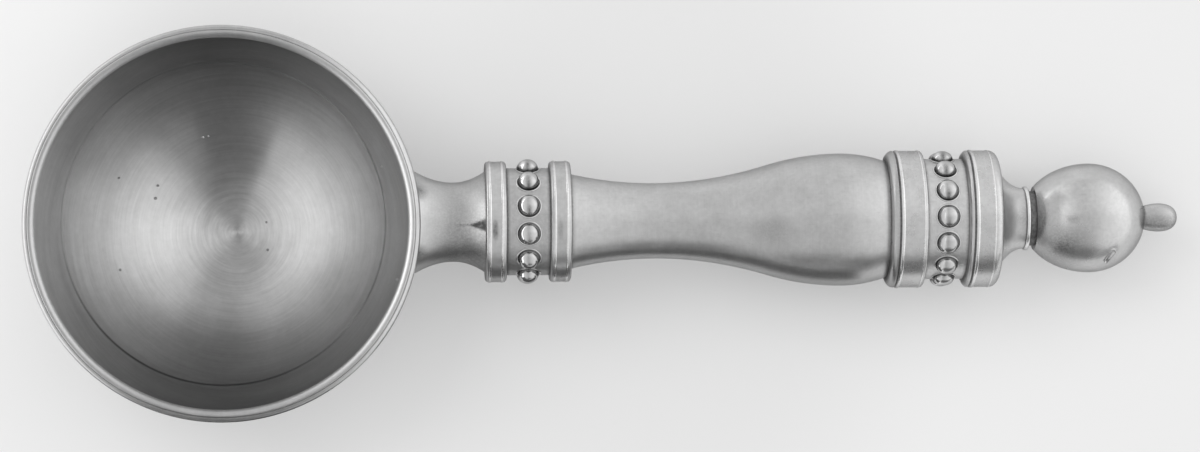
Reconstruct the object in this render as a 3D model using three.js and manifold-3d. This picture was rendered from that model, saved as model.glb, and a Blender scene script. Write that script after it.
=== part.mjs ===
// Serving scoop: a round sheet-metal bowl on a handle of turned pieces.
// A tie rod runs through the handle and clamps the pieces between the neck and the screwed finial.
// Millimetres, +Z up. The scoop lies on a table at z = 0, with the handle along +X.
import * as THREE from "three";
import { mergeVertices } from "three/addons/utils/BufferGeometryUtils.js";
import Module from "manifold-3d";

// Bowl: a straight wall from the lip down to a crease, then a dish that is part of a sphere
const mouthRadius = 30.4;
const bowlWall = 1.0;
const creaseRadius = 26.6;
const creaseDepth = 11.0;
const creaseLedge = 0.2;
const dishDepth = 16.0;
const restingFlatDepth = 0.4;

// Rim wire: half-round, round the outside of the lip
const rimWireThickness = 0.85;
const rimWireHeight = 1.8;
const rimWireDrop = 0.1;
const rimWireClearance = 0.1;

// Neck: waisted between the bowl and the first ring
const handleDepth = 9.5; // handle axis below the lip
const neckLength = 11.25;
const neckWaistAt = 6.2;
const neckBowlRadius = 8.3;
const neckWaistRadius = 6.5;
const neckCollarRadius = 8.3;
const brazeGap = 0.3; // filler gap between the bowl and the neck's saddle

// Front collar: two rings with a beaded drum between them
const frontRingRadius = 10.0;
const frontRingWidth = 3.3;
const frontRingEdge = 0.6;
const frontDrumRadius = 8.8;
const frontDrumWidth = 6.85;
const frontBeadCount = 12;
const frontBeadHeight = 1.45;
const frontBeadPhase = 13;

// Grip: a waist near the bowl and a belly near the finial
const gripLength = 51.8;
const gripStartRadius = 7.8;
const gripWaistAt = 13.7;
const gripWaistRadius = 6.2;
const gripTurnAt = 32.2; // where the hollow curve turns into the belly's curve
const gripBellyAt = 44.6;
const gripBellyRadius = 10.9;
const gripEndRadius = 9.6;
const gripBoreRadius = 4.4;
const spigotLength = 3.0;

// Rear collar: two wider rings with a beaded drum between them
const rearRingRadius = 11.4;
const rearRingGripWidth = 5.8;
const rearRingFinialWidth = 5.55;
const rearRingChamferWidth = 1.65;
const rearRingChamferDepth = 1.4;
const rearRingEdge = 0.9;
const rearDrumRadius = 9.9;
const rearDrumWidth = 6.5;
const rearBeadCount = 14;
const rearBeadHeight = 1.05;
const rearBeadPhase = -2.4;

// Beads: domed studs with a shank in a drilled socket
const beadRadius = 1.7;
const beadShankRadius = 0.9;
const beadShankLength = 2.0;
const socketSpareDepth = 0.3;

// Finial: a trumpet-shaped neck with a thin lip, a ball and a small tip
const finialNeckLength = 4.8;
const finialNeckFootRadius = 8.4;
const finialNeckWaistRadius = 5.0;
const finialLipWidth = 1.2;
const finialLipRadius = 5.3;
const ballRadius = 9.0;
const ballFrontLength = 9.05;
const ballBackLength = 9.0;
const ballSeatRadius = 5.2;
const tipSeatRadius = 2.0;
const tipRootRadius = 1.9;
const tipRadius = 2.35;
const tipBellyAt = 2.6;
const tipEndLength = 3.0;
const tipPegRadius = 1.2;
const tipPegLength = 3.0;

// Tie rod: screwed into the neck and into the ball
const rodRadius = 2.5;
const rodNeckDepth = 8.0;
const rodBallDepth = 9.0;
const rodEndClearance = 0.5;

// Clearances
const seatGap = 0.2; // between stacked faces
const fitClearance = 0.2; // radial, of a rod, spigot, peg or shank in its hole

// Facets
const bowlSides = 48;
const handleSides = 32;
const beadSides = 8;
const rodSides = 16;
const dishSteps = 7;
const curveSteps = 5;
const domeSteps = 3;
const edgeSteps = 2;
const weldDistance = 1e-4;

const wasm = await Module();
wasm.setup();

// Finishes
const finish = (color, roughness) => new THREE.MeshStandardMaterial({ color, roughness, metalness: 1 });
const brushedSteel = finish(0xb4b4b2, 0.42);
const satinSteel = finish(0xc2c2c0, 0.36);
const polishedSteel = finish(0xd2d2d0, 0.16);
const plainSteel = finish(0x9c9c9a, 0.5);

// Profile points are (radius, distance along the axis).
const point = (radius, along) => new THREE.Vector2(radius, along);

// An elliptical arc of a profile, centred on (radius, along), between two angles.
function arc(radius, along, reachOut, reachAlong, startAngle, endAngle, steps) {
  return new THREE.EllipseCurve(radius, along, reachOut, reachAlong, startAngle, endAngle).getPoints(steps);
}

// A parabola from one profile point to another, level with the axis where it starts.
function flare(from, to) {
  const control = point(from.x, (from.y + to.y) / 2);
  return new THREE.QuadraticBezierCurve(from, control, to).getPoints(curveSteps);
}

const reversed = (points) => [...points].reverse();

// A turned piece. A ring's profile is closed by repeating its first point.
const turned = (profile, sides) => new THREE.LatheGeometry(profile, sides);
const turnedRing = (profile, sides) => turned([...profile, profile[0]], sides);

function solidOf(geometry) {
  const bare = geometry.clone();
  bare.deleteAttribute("normal");
  bare.deleteAttribute("uv");
  const welded = mergeVertices(bare, weldDistance);
  const vertProperties = new Float32Array(welded.getAttribute("position").array);
  const triVerts = new Uint32Array(welded.getIndex().array);
  return new wasm.Manifold(new wasm.Mesh({ numProp: 3, vertProperties, triVerts }));
}

function geometryOf(solid) {
  const mesh = solid.getMesh();
  const geometry = new THREE.BufferGeometry();
  geometry.setAttribute("position", new THREE.BufferAttribute(mesh.vertProperties, 3));
  geometry.setIndex(new THREE.BufferAttribute(mesh.triVerts, 1));
  geometry.computeVertexNormals();
  return geometry;
}

function piece(name, geometry, material) {
  const mesh = new THREE.Mesh(geometry, material);
  mesh.name = name;
  return mesh;
}

// Dish: the sphere through the crease circle and the bowl's inner bottom
const dishRadius = (creaseRadius ** 2 + dishDepth ** 2) / (2 * dishDepth);
const dishCentre = dishRadius - dishDepth - creaseDepth; // above the lip
const dishOuterRadius = dishRadius + bowlWall;
const dishEdgeAngle = Math.atan2(-creaseDepth - dishCentre, creaseRadius);
const lipOuterRadius = mouthRadius + bowlWall;

// Straight wall: its outer foot is one wall thickness out from its inner foot
const wallFootRadius = creaseRadius + creaseLedge;
const wallLean = Math.atan2(mouthRadius - wallFootRadius, creaseDepth);
const wallOuterFoot = point(
  wallFootRadius + bowlWall * Math.cos(wallLean),
  -creaseDepth - bowlWall * Math.sin(wallLean),
);
const lipRound = bowlWall / 2;
const wallOuterTop = point(lipOuterRadius, -lipRound);
const outerWallAt = (height) =>
  THREE.MathUtils.mapLinear(height, wallOuterTop.y, wallOuterFoot.y, wallOuterTop.x, wallOuterFoot.x);

// Round fits inside the handle
const rodBore = rodRadius + fitClearance;
const spigotRadius = gripBoreRadius - fitClearance;

// Stations along the handle axis, from the bowl's axis
// Rings A and B hold the front drum between them, and rings C and D the rear drum.
const neckEnd = lipOuterRadius + neckLength;
const frontRingA = neckEnd + seatGap;
const frontDrum = frontRingA + frontRingWidth + seatGap;
const frontRingB = frontDrum + frontDrumWidth + seatGap;
const gripStart = frontRingB + frontRingWidth + seatGap;
const gripEnd = gripStart + gripLength;
const rearRingC = gripEnd + seatGap;
const rearDrum = rearRingC + rearRingGripWidth + seatGap;
const rearRingD = rearDrum + rearDrumWidth + seatGap;
const rearRingDEnd = rearRingD + rearRingFinialWidth;
const finialNeckStart = rearRingDEnd + seatGap;
const ballStart = finialNeckStart + finialNeckLength + finialLipWidth + seatGap;
const ballMiddle = ballStart + ballFrontLength;
const ballEnd = ballMiddle + ballBackLength;
const tipStart = ballEnd + seatGap;

// Rest: the table touches the dish, or the flat ground on it, and one round of the handle.
// Each support is a circle in the plane of the bowl's and the handle's axes.
const ringSupport = (start, width, edge) => ({
  along: start + width - edge,
  height: -handleDepth - rearRingRadius + edge,
  radius: edge,
});
const supports = [
  ringSupport(rearRingC, rearRingGripWidth, rearRingEdge),
  ringSupport(rearRingD, rearRingFinialWidth, rearRingEdge),
  { along: ballMiddle, height: -handleDepth, radius: ballRadius },
];
const flatToDishCentre = dishOuterRadius - restingFlatDepth;

function tiltOn(support) {
  const drop = dishCentre - support.height;
  const reach = Math.hypot(support.along, drop);
  return Math.atan2(support.along, drop) - Math.acos((flatToDishCentre - support.radius) / reach);
}
const restTilt = Math.min(...supports.map(tiltOn));

// Arc of the dish from its bottom up to the crease
const dishArc = (radius) => arc(0, dishCentre, radius, radius, -Math.PI / 2, dishEdgeAngle, dishSteps);

// Outside of the bowl from its bottom to the foot of its wall, grown outwards by a margin
const bowlOutside = (margin) => [
  ...dishArc(dishOuterRadius + margin),
  point(wallOuterFoot.x + margin, wallOuterFoot.y),
];

function makeBowl() {
  const profile = [
    ...bowlOutside(0),
    ...arc(mouthRadius + lipRound, -lipRound, lipRound, lipRound, 0, Math.PI, 2 * edgeSteps),
    point(wallFootRadius, -creaseDepth),
    ...reversed(dishArc(dishRadius)),
  ];
  const shell = turned(profile, bowlSides);
  shell.rotateX(Math.PI / 2);

  // The table plane cuts the resting flat.
  const blockSize = 2 * lipOuterRadius;
  const block = new THREE.BoxGeometry(blockSize, blockSize, blockSize);
  block.translate(0, 0, -flatToDishCentre - blockSize / 2);
  block.rotateY(-restTilt);
  block.translate(0, 0, dishCentre);
  return geometryOf(solidOf(shell).subtract(solidOf(block)));
}

// Section of the rim wire: a half-round outside, and an inside that follows the bowl's wall
const rimInner = lipOuterRadius + rimWireClearance;
const rimBottom = -rimWireDrop - rimWireHeight;

function makeRimWire() {
  const half = rimWireHeight / 2;
  const profile = [
    point(outerWallAt(rimBottom) + rimWireClearance, rimBottom),
    ...arc(rimInner, rimBottom + half, rimWireThickness, half, -Math.PI / 2, Math.PI / 2, curveSteps),
    point(rimInner, wallOuterTop.y),
  ];
  const wire = turnedRing(profile, bowlSides);
  wire.rotateX(Math.PI / 2);
  return wire;
}

function makeNeck() {
  const socketBottom = neckEnd - rodNeckDepth - rodEndClearance;
  const waist = point(neckWaistRadius, lipOuterRadius + neckWaistAt);
  const profile = [
    point(0, 0),
    point(neckBowlRadius, 0),
    ...reversed(flare(waist, point(neckBowlRadius, lipOuterRadius))),
    ...flare(waist, point(neckCollarRadius, neckEnd)).slice(1),
    point(rodBore, neckEnd),
    point(rodBore, socketBottom),
    point(0, socketBottom),
  ];

  // The bowl and its rim wire, grown by the filler gap, cut the saddle.
  const rimOuter = rimInner + rimWireThickness + brazeGap;
  const rimUnderside = rimBottom - brazeGap;
  const bowlBlank = turned(
    [
      ...bowlOutside(brazeGap),
      point(outerWallAt(rimUnderside) + brazeGap, rimUnderside),
      point(rimOuter, rimUnderside),
      point(rimOuter, mouthRadius),
      point(0, mouthRadius),
    ],
    bowlSides,
  );
  bowlBlank.rotateX(Math.PI / 2);
  bowlBlank.translate(0, 0, handleDepth);
  bowlBlank.rotateZ(Math.PI / 2); // into the handle's own axes, where the handle runs along +Y
  return geometryOf(solidOf(turned(profile, handleSides)).subtract(solidOf(bowlBlank)));
}

// Corners of a ring's profile, on the side of the bowl (front) and of the finial (back)
const frontRound = (start, radius, edge) =>
  arc(radius - edge, start + edge, edge, edge, -Math.PI / 2, 0, edgeSteps);
const backRound = (end, radius, edge) =>
  arc(radius - edge, end - edge, edge, edge, 0, Math.PI / 2, edgeSteps);
const frontChamfer = (start, radius) => [
  point(radius - rearRingChamferDepth, start),
  point(radius, start + rearRingChamferWidth),
];

function makeFrontRingBowlSide() {
  const end = frontRingA + frontRingWidth;
  const profile = [
    point(rodBore, frontRingA),
    ...frontRound(frontRingA, frontRingRadius, frontRingEdge),
    ...backRound(end, frontRingRadius, frontRingEdge),
    point(rodBore, end),
  ];
  return turnedRing(profile, handleSides);
}

function makeFrontRingGripSide() {
  const end = frontRingB + frontRingWidth;
  const spigotEnd = gripStart + spigotLength;
  const profile = [
    point(rodBore, frontRingB),
    ...frontRound(frontRingB, frontRingRadius, frontRingEdge),
    ...backRound(end, frontRingRadius, frontRingEdge),
    point(spigotRadius, end),
    point(spigotRadius, spigotEnd),
    point(rodBore, spigotEnd),
  ];
  return turnedRing(profile, handleSides);
}

function makeGrip() {
  const start = point(gripStartRadius, gripStart);
  const waist = point(gripWaistRadius, gripStart + gripWaistAt);
  const belly = point(gripBellyRadius, gripStart + gripBellyAt);
  const end = point(gripEndRadius, gripEnd);

  // Both curves have the same slope where they meet.
  const share = (gripTurnAt - gripWaistAt) / (gripBellyAt - gripWaistAt);
  const turn = point(THREE.MathUtils.lerp(waist.x, belly.x, share), gripStart + gripTurnAt);
  const profile = [
    point(gripBoreRadius, gripStart),
    ...reversed(flare(waist, start)),
    ...flare(waist, turn).slice(1),
    ...reversed(flare(belly, turn)).slice(1),
    ...flare(belly, end).slice(1),
    point(gripBoreRadius, gripEnd),
  ];
  return turnedRing(profile, handleSides);
}

function makeRearRingGripSide() {
  const end = rearRingC + rearRingGripWidth;
  const spigotEnd = gripEnd - spigotLength;
  const profile = [
    point(rodBore, spigotEnd),
    point(spigotRadius, spigotEnd),
    point(spigotRadius, rearRingC),
    ...frontChamfer(rearRingC, rearRingRadius),
    ...backRound(end, rearRingRadius, rearRingEdge),
    point(rodBore, end),
  ];
  return turnedRing(profile, handleSides);
}

function makeRearRingFinialSide() {
  const profile = [
    point(rodBore, rearRingD),
    ...frontChamfer(rearRingD, rearRingRadius),
    ...backRound(rearRingDEnd, rearRingRadius, rearRingEdge),
    point(rodBore, rearRingDEnd),
  ];
  return turnedRing(profile, handleSides);
}

// Angle of one bead from straight up, towards -Y
const beadAngle = (index, count, phase) => THREE.MathUtils.degToRad(phase + (360 * index) / count);

// A drum with a drilled socket for the shank of each bead
function makeDrum(start, width, radius, beadCount, phase) {
  const profile = [
    point(rodBore, start),
    point(radius, start),
    point(radius, start + width),
    point(rodBore, start + width),
  ];
  const socketRadius = beadShankRadius + fitClearance;
  const socketDepth = beadShankLength + socketSpareDepth;
  let drum = solidOf(turnedRing(profile, handleSides));
  for (let index = 0; index < beadCount; index += 1) {
    const drill = new THREE.CylinderGeometry(socketRadius, socketRadius, 2 * socketDepth, beadSides);
    drill.rotateX(Math.PI / 2);
    drill.translate(0, start + width / 2, radius);
    drill.rotateY(beadAngle(index, beadCount, phase));
    drum = drum.subtract(solidOf(drill));
  }
  return geometryOf(drum);
}

function makeBead(height) {
  const profile = [
    point(0, seatGap - beadShankLength),
    point(beadShankRadius, seatGap - beadShankLength),
    point(beadShankRadius, seatGap),
    ...arc(0, seatGap, beadRadius, height, 0, Math.PI / 2, domeSteps),
  ];
  return turned(profile, beadSides);
}

// A row of beads on a drum, each turned about the handle's axis
function beadRow(name, count, phase, height, along, radius) {
  const row = new THREE.Group();
  for (let index = 0; index < count; index += 1) {
    const number = String(index + 1).padStart(2, "0");
    const bead = piece(`${name}_${number}`, makeBead(height), polishedSteel);
    bead.rotation.x = Math.PI / 2;
    bead.position.set(0, along, radius);
    const pivot = new THREE.Group();
    pivot.rotation.y = beadAngle(index, count, phase);
    pivot.add(bead);
    row.add(pivot);
  }
  return row;
}

function makeFinialNeck() {
  const waist = point(finialNeckWaistRadius, finialNeckStart + finialNeckLength);
  const lipMiddle = waist.y + finialLipWidth / 2;
  const lipProud = finialLipRadius - finialNeckWaistRadius;
  const lip = arc(waist.x, lipMiddle, lipProud, finialLipWidth / 2, -Math.PI / 2, Math.PI / 2, 2 * edgeSteps);
  const profile = [
    point(rodBore, finialNeckStart),
    ...reversed(flare(waist, point(finialNeckFootRadius, finialNeckStart))),
    ...lip.slice(1),
    point(rodBore, waist.y + finialLipWidth),
  ];
  return turnedRing(profile, handleSides);
}

function makeFinialBall() {
  const frontAngle = Math.acos(ballSeatRadius / ballRadius);
  const backAngle = Math.acos(tipSeatRadius / ballRadius);
  const frontReach = ballFrontLength / Math.sin(frontAngle);
  const backReach = ballBackLength / Math.sin(backAngle);
  const holeBottom = ballStart + rodBallDepth + rodEndClearance;
  const pegHole = tipPegRadius + fitClearance;
  const pegHoleBottom = ballEnd - tipPegLength;
  const profile = [
    point(0, holeBottom),
    point(rodBore, holeBottom),
    point(rodBore, ballStart),
    ...arc(0, ballMiddle, ballRadius, frontReach, -frontAngle, 0, curveSteps),
    ...arc(0, ballMiddle, ballRadius, backReach, 0, backAngle, curveSteps).slice(1),
    point(pegHole, ballEnd),
    point(pegHole, pegHoleBottom),
    point(0, pegHoleBottom),
  ];
  return turned(profile, handleSides);
}

function makeFinialTip() {
  const belly = point(tipRadius, tipStart + tipBellyAt);
  const pegEnd = tipStart - tipPegLength;
  const profile = [
    point(0, pegEnd),
    point(tipPegRadius, pegEnd),
    point(tipPegRadius, tipStart),
    ...reversed(flare(belly, point(tipRootRadius, tipStart))),
    ...arc(0, belly.y, tipRadius, tipEndLength, 0, Math.PI / 2, curveSteps).slice(1),
  ];
  return turned(profile, rodSides);
}

function makeTieRod() {
  const start = neckEnd - rodNeckDepth;
  const end = ballStart + rodBallDepth;
  const profile = [point(0, start), point(rodRadius, start), point(rodRadius, end), point(0, end)];
  return turned(profile, rodSides);
}

// Handle pieces are turned about +Y, which the group lays along +X.
const handle = new THREE.Group();
handle.rotation.z = -Math.PI / 2;
handle.position.z = -handleDepth;
const frontBand = makeDrum(frontDrum, frontDrumWidth, frontDrumRadius, frontBeadCount, frontBeadPhase);
const rearBand = makeDrum(rearDrum, rearDrumWidth, rearDrumRadius, rearBeadCount, rearBeadPhase);
const frontBeadsAlong = frontDrum + frontDrumWidth / 2;
const rearBeadsAlong = rearDrum + rearDrumWidth / 2;
handle.add(
  piece("neck", makeNeck(), satinSteel),
  piece("front_ring_bowl_side", makeFrontRingBowlSide(), satinSteel),
  piece("front_bead_band", frontBand, satinSteel),
  piece("front_ring_grip_side", makeFrontRingGripSide(), satinSteel),
  piece("grip", makeGrip(), satinSteel),
  piece("rear_ring_grip_side", makeRearRingGripSide(), satinSteel),
  piece("rear_bead_band", rearBand, satinSteel),
  piece("rear_ring_finial_side", makeRearRingFinialSide(), satinSteel),
  piece("finial_neck", makeFinialNeck(), satinSteel),
  piece("finial_ball", makeFinialBall(), polishedSteel),
  piece("finial_tip", makeFinialTip(), polishedSteel),
  piece("tie_rod", makeTieRod(), plainSteel),
  beadRow("front_bead", frontBeadCount, frontBeadPhase, frontBeadHeight, frontBeadsAlong, frontDrumRadius),
  beadRow("rear_bead", rearBeadCount, rearBeadPhase, rearBeadHeight, rearBeadsAlong, rearDrumRadius),
);

// At rest the scoop is tilted, and the origin is the middle of the resting flat.
const scoop = new THREE.Group();
scoop.rotation.y = restTilt;
scoop.position.x = -dishCentre * Math.sin(restTilt);
scoop.position.z = flatToDishCentre - dishCentre * Math.cos(restTilt);
scoop.add(
  piece("bowl", makeBowl(), brushedSteel),
  piece("rim_wire", makeRimWire(), satinSteel),
  handle,
);

const model = new THREE.Group();
model.add(scoop);

export default model;
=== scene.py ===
import math
import bmesh
import bpy
from mathutils import Matrix, Vector


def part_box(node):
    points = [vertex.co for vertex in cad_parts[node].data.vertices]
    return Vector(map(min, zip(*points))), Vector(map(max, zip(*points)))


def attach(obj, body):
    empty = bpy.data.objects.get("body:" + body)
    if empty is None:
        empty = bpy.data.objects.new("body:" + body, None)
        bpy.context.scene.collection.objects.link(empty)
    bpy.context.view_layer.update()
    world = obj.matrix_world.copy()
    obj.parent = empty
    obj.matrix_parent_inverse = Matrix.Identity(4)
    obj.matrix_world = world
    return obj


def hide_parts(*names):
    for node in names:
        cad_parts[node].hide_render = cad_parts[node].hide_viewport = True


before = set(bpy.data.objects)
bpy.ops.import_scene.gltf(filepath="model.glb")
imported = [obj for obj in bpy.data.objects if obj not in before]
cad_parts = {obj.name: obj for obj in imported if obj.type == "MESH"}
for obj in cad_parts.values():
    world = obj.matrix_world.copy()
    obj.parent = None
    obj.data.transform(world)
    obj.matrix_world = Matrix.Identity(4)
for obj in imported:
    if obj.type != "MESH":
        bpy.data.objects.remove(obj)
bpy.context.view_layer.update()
scene = bpy.context.scene
mm = 0.001
print("frame loaded:", len(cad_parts), "nodes")

# Bench frame: millimetres, the lip's middle at the origin, the bowl's axis up and the handle along +x.
# The pieces are shaped there and then laid down as the scoop lies on the table.
bench = {
    "rimMiddleDepth": 1.0,     # middle of the rim wire below the lip
    "handleDepth": 9.5,        # handle axis below the lip
}


def nodeMiddle(node):
    low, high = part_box(node)
    return (low + high) / 2


frontMiddle = nodeMiddle("front_ring_bowl_side")
rearMiddle = nodeMiddle("rear_bead_band")
lean = math.atan2(frontMiddle.z - rearMiddle.z, rearMiddle.x - frontMiddle.x)
bowlUp = Vector((math.sin(lean), 0, math.cos(lean)))
lipMiddle = nodeMiddle("rim_wire") + bowlUp * bench["rimMiddleDepth"] * mm
bowlPlace = Matrix.Translation(lipMiddle) @ Matrix.Rotation(lean, 4, "Y") @ Matrix.Scale(mm, 4)
handlePlace = bowlPlace @ Matrix.Translation((0, 0, -bench["handleDepth"]))
print("lean of the scoop: %.3f degrees" % math.degrees(lean))


# Camera: straight above, a long lens
viewCamera = {
    "lens": 129.0, "sensor": 36.0,
    "along": 60.97,            # mm
    "across": -0.79,
    "height": 722.2,
    "turn": -0.0068,           # radians
    "clip": (0.01, 100.0),     # metres
}
cameraData = bpy.data.cameras.new("viewCamera")
cameraData.lens = viewCamera["lens"]
cameraData.sensor_width = viewCamera["sensor"]
cameraData.clip_start, cameraData.clip_end = viewCamera["clip"]
camera = bpy.data.objects.new("viewCamera", cameraData)
camera.location = Vector((viewCamera["along"], viewCamera["across"], viewCamera["height"])) * mm
camera.rotation_euler = (0, 0, viewCamera["turn"])
scene.collection.objects.link(camera)
scene.camera = camera
scene.view_settings.view_transform = "Standard"


# Node helpers
noiseSpan = (0.25, 0.75)       # most of a noise lies between these


def addNode(tree, kind, **settings):
    made = tree.nodes.new(kind)
    for name, value in settings.items():
        setattr(made, name, value)
    return made


def feed(tree, socket, value):
    if isinstance(value, bpy.types.NodeSocket):
        tree.links.new(value, socket)
    else:
        socket.default_value = value


def feedInOrder(tree, node, *values):
    for socket, value in zip(node.inputs, values):
        feed(tree, socket, value)


def feedAll(tree, node, values):
    for name, value in values.items():
        feed(tree, node.inputs[name], value)


def maths(tree, operation, first, second=0.0, third=0.0):
    made = addNode(tree, "ShaderNodeMath", operation=operation)
    feedInOrder(tree, made, first, second, third)
    return made.outputs[0]


def product(tree, first, *others):
    for other in others:
        first = maths(tree, "MULTIPLY", first, other)
    return first


def changed(tree, value, share, change):
    # the value times 1 + change, where the share is full
    return product(tree, value, maths(tree, "MULTIPLY_ADD", share, change, 1.0))


def spread(tree, value, fromLow, fromHigh, toLow, toHigh, smooth=False):
    made = addNode(tree, "ShaderNodeMapRange")
    made.interpolation_type = "SMOOTHSTEP" if smooth else "LINEAR"
    feedInOrder(tree, made, value, fromLow, fromHigh, toLow, toHigh)
    return made.outputs[0]


def vectorMaths(tree, operation, first, second=(0, 0, 0)):
    made = addNode(tree, "ShaderNodeVectorMath", operation=operation)
    feedInOrder(tree, made, first, second)
    givesNumber = operation in ("LENGTH", "DOT_PRODUCT", "DISTANCE")
    return made.outputs["Value" if givesNumber else "Vector"]


def splitVector(tree, vector):
    made = addNode(tree, "ShaderNodeSeparateXYZ")
    feed(tree, made.inputs[0], vector)
    return made.outputs


def joinVector(tree, x, y, z):
    made = addNode(tree, "ShaderNodeCombineXYZ")
    feedInOrder(tree, made, x, y, z)
    return made.outputs[0]


def objectCoords(tree):
    return addNode(tree, "ShaderNodeTexCoord").outputs["Object"]


def noise(tree, vector, scale, detail, roughness):
    made = addNode(tree, "ShaderNodeTexNoise")
    feedAll(tree, made, {"Vector": vector, "Scale": scale, "Detail": detail, "Roughness": roughness})
    return made.outputs["Fac"]


def around1(tree, value, depth):
    # noise turned into a factor that varies by the depth on both sides of 1
    return spread(tree, value, *noiseSpan, 1 - depth, 1 + depth)


def greySocket(level):
    return (level, level, level, 1)


def newMaterial(name):
    made = bpy.data.materials.new(name)
    made.use_nodes = True
    return made, made.node_tree, made.node_tree.nodes["Principled BSDF"]


def addObject(name, bm, finish):
    mesh = bpy.data.meshes.new(name)
    bm.to_mesh(mesh)
    bm.free()
    mesh.materials.append(finish)
    made = bpy.data.objects.new(name, mesh)
    scene.collection.objects.link(made)
    return made


# Stage: pale table, a wide soft sky, a window lamp and cards that only the metal sees
sky = {
    "overhead": 0.73,
    "leftward": 3.10,          # added towards -X
    "leftPower": 2.75,         # higher keeps that light lower down
    "rightward": 0.75,         # added towards +X
    "nearShare": 0.82,         # share left from overhead towards -Y
    "nearFrom": 0.40, "nearTo": -0.10,
    "horizonShare": 0.20,      # share left towards -Y, at the horizon
    "horizonFrom": -0.82,
    "floorOverhead": 1.50,     # the table has a sky of its own
    "backdrop": 0.86,
}
world = bpy.data.worlds.new("softSky")
scene.world = world
world.use_nodes = True
world.cycles.sampling_method = "NONE"
tree = world.node_tree
tree.nodes.clear()
direction = splitVector(tree, addNode(tree, "ShaderNodeTexCoord").outputs["Generated"])
leftPart = maths(tree, "MAXIMUM", product(tree, direction["X"], -1.0), 0.0)
leftPart = maths(tree, "POWER", leftPart, sky["leftPower"])
rightPart = maths(tree, "MAXIMUM", direction["X"], 0.0)
skyLevel = maths(tree, "MULTIPLY_ADD", leftPart, sky["leftward"], sky["overhead"])
skyLevel = maths(tree, "MULTIPLY_ADD", rightPart, sky["rightward"], skyLevel)
nearSpan = (sky["nearTo"], sky["nearFrom"])
nearPart = spread(tree, direction["Y"], *nearSpan, sky["nearShare"], 1.0, smooth=True)
horizonSpan = (-1.0, sky["horizonFrom"])
horizonPart = spread(tree, direction["Y"], *horizonSpan, sky["horizonShare"], 1.0, smooth=True)
metalSky = product(tree, skyLevel, nearPart, horizonPart)
floorSky = product(tree, maths(tree, "MAXIMUM", direction["Z"], 0.0), sky["floorOverhead"])
rayKind = addNode(tree, "ShaderNodeLightPath").outputs
floorShare = product(tree, maths(tree, "SUBTRACT", floorSky, metalSky), rayKind["Is Diffuse Ray"])
skyLight = addNode(tree, "ShaderNodeBackground")
feedAll(tree, skyLight, {"Color": greySocket(1), "Strength": maths(tree, "ADD", metalSky, floorShare)})
backdrop = addNode(tree, "ShaderNodeBackground")
feed(tree, backdrop.inputs["Color"], greySocket(sky["backdrop"]))
mixed = addNode(tree, "ShaderNodeMixShader")
feedInOrder(tree, mixed, rayKind["Is Camera Ray"], skyLight.outputs[0], backdrop.outputs[0])
feed(tree, addNode(tree, "ShaderNodeOutputWorld").inputs["Surface"], mixed.outputs[0])

table = {
    "halfSide": 6000.0,
    "drop": 0.02,
    "grey": 0.56,
    "glow": 0.225,
    "roughness": 0.9,
    "specular": 0.1,
    "pools": [                 # painted pools of shade and light: middle, reach, and what they add to the glow
        ((70.0, 0.0, 0.0), (55.0, 110.0, 1.0), -0.062),
        ((-48.0, 30.0, 0.0), (48.0, 62.0, 1.0), 0.055),
    ],
    "poolCore": 0.35,          # share of the reach with the full depth
}
tableFinish, tree, tableShader = newMaterial("paleTable")
tablePlace = objectCoords(tree)
glow = table["glow"]
# painted shade and light: each pool darkens or lightens the table's glow
for middle, reach, light in table["pools"]:
    away = vectorMaths(tree, "SUBTRACT", tablePlace, Vector(middle) * mm)
    away = vectorMaths(tree, "LENGTH", vectorMaths(tree, "DIVIDE", away, Vector(reach) * mm))
    glow = maths(tree, "ADD", glow, spread(tree, away, table["poolCore"], 1.0, light, 0.0, smooth=True))
feedAll(tree, tableShader, {
    "Base Color": greySocket(table["grey"]), "Roughness": table["roughness"],
    "Specular IOR Level": table["specular"], "Emission Color": greySocket(1), "Emission Strength": glow,
})
bm = bmesh.new()
bmesh.ops.create_grid(bm, x_segments=1, y_segments=1, size=table["halfSide"] * mm)
bmesh.ops.translate(bm, verts=bm.verts, vec=(0, 0, -table["drop"] * mm))
tableTop = addObject("table", bm, tableFinish)

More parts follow.
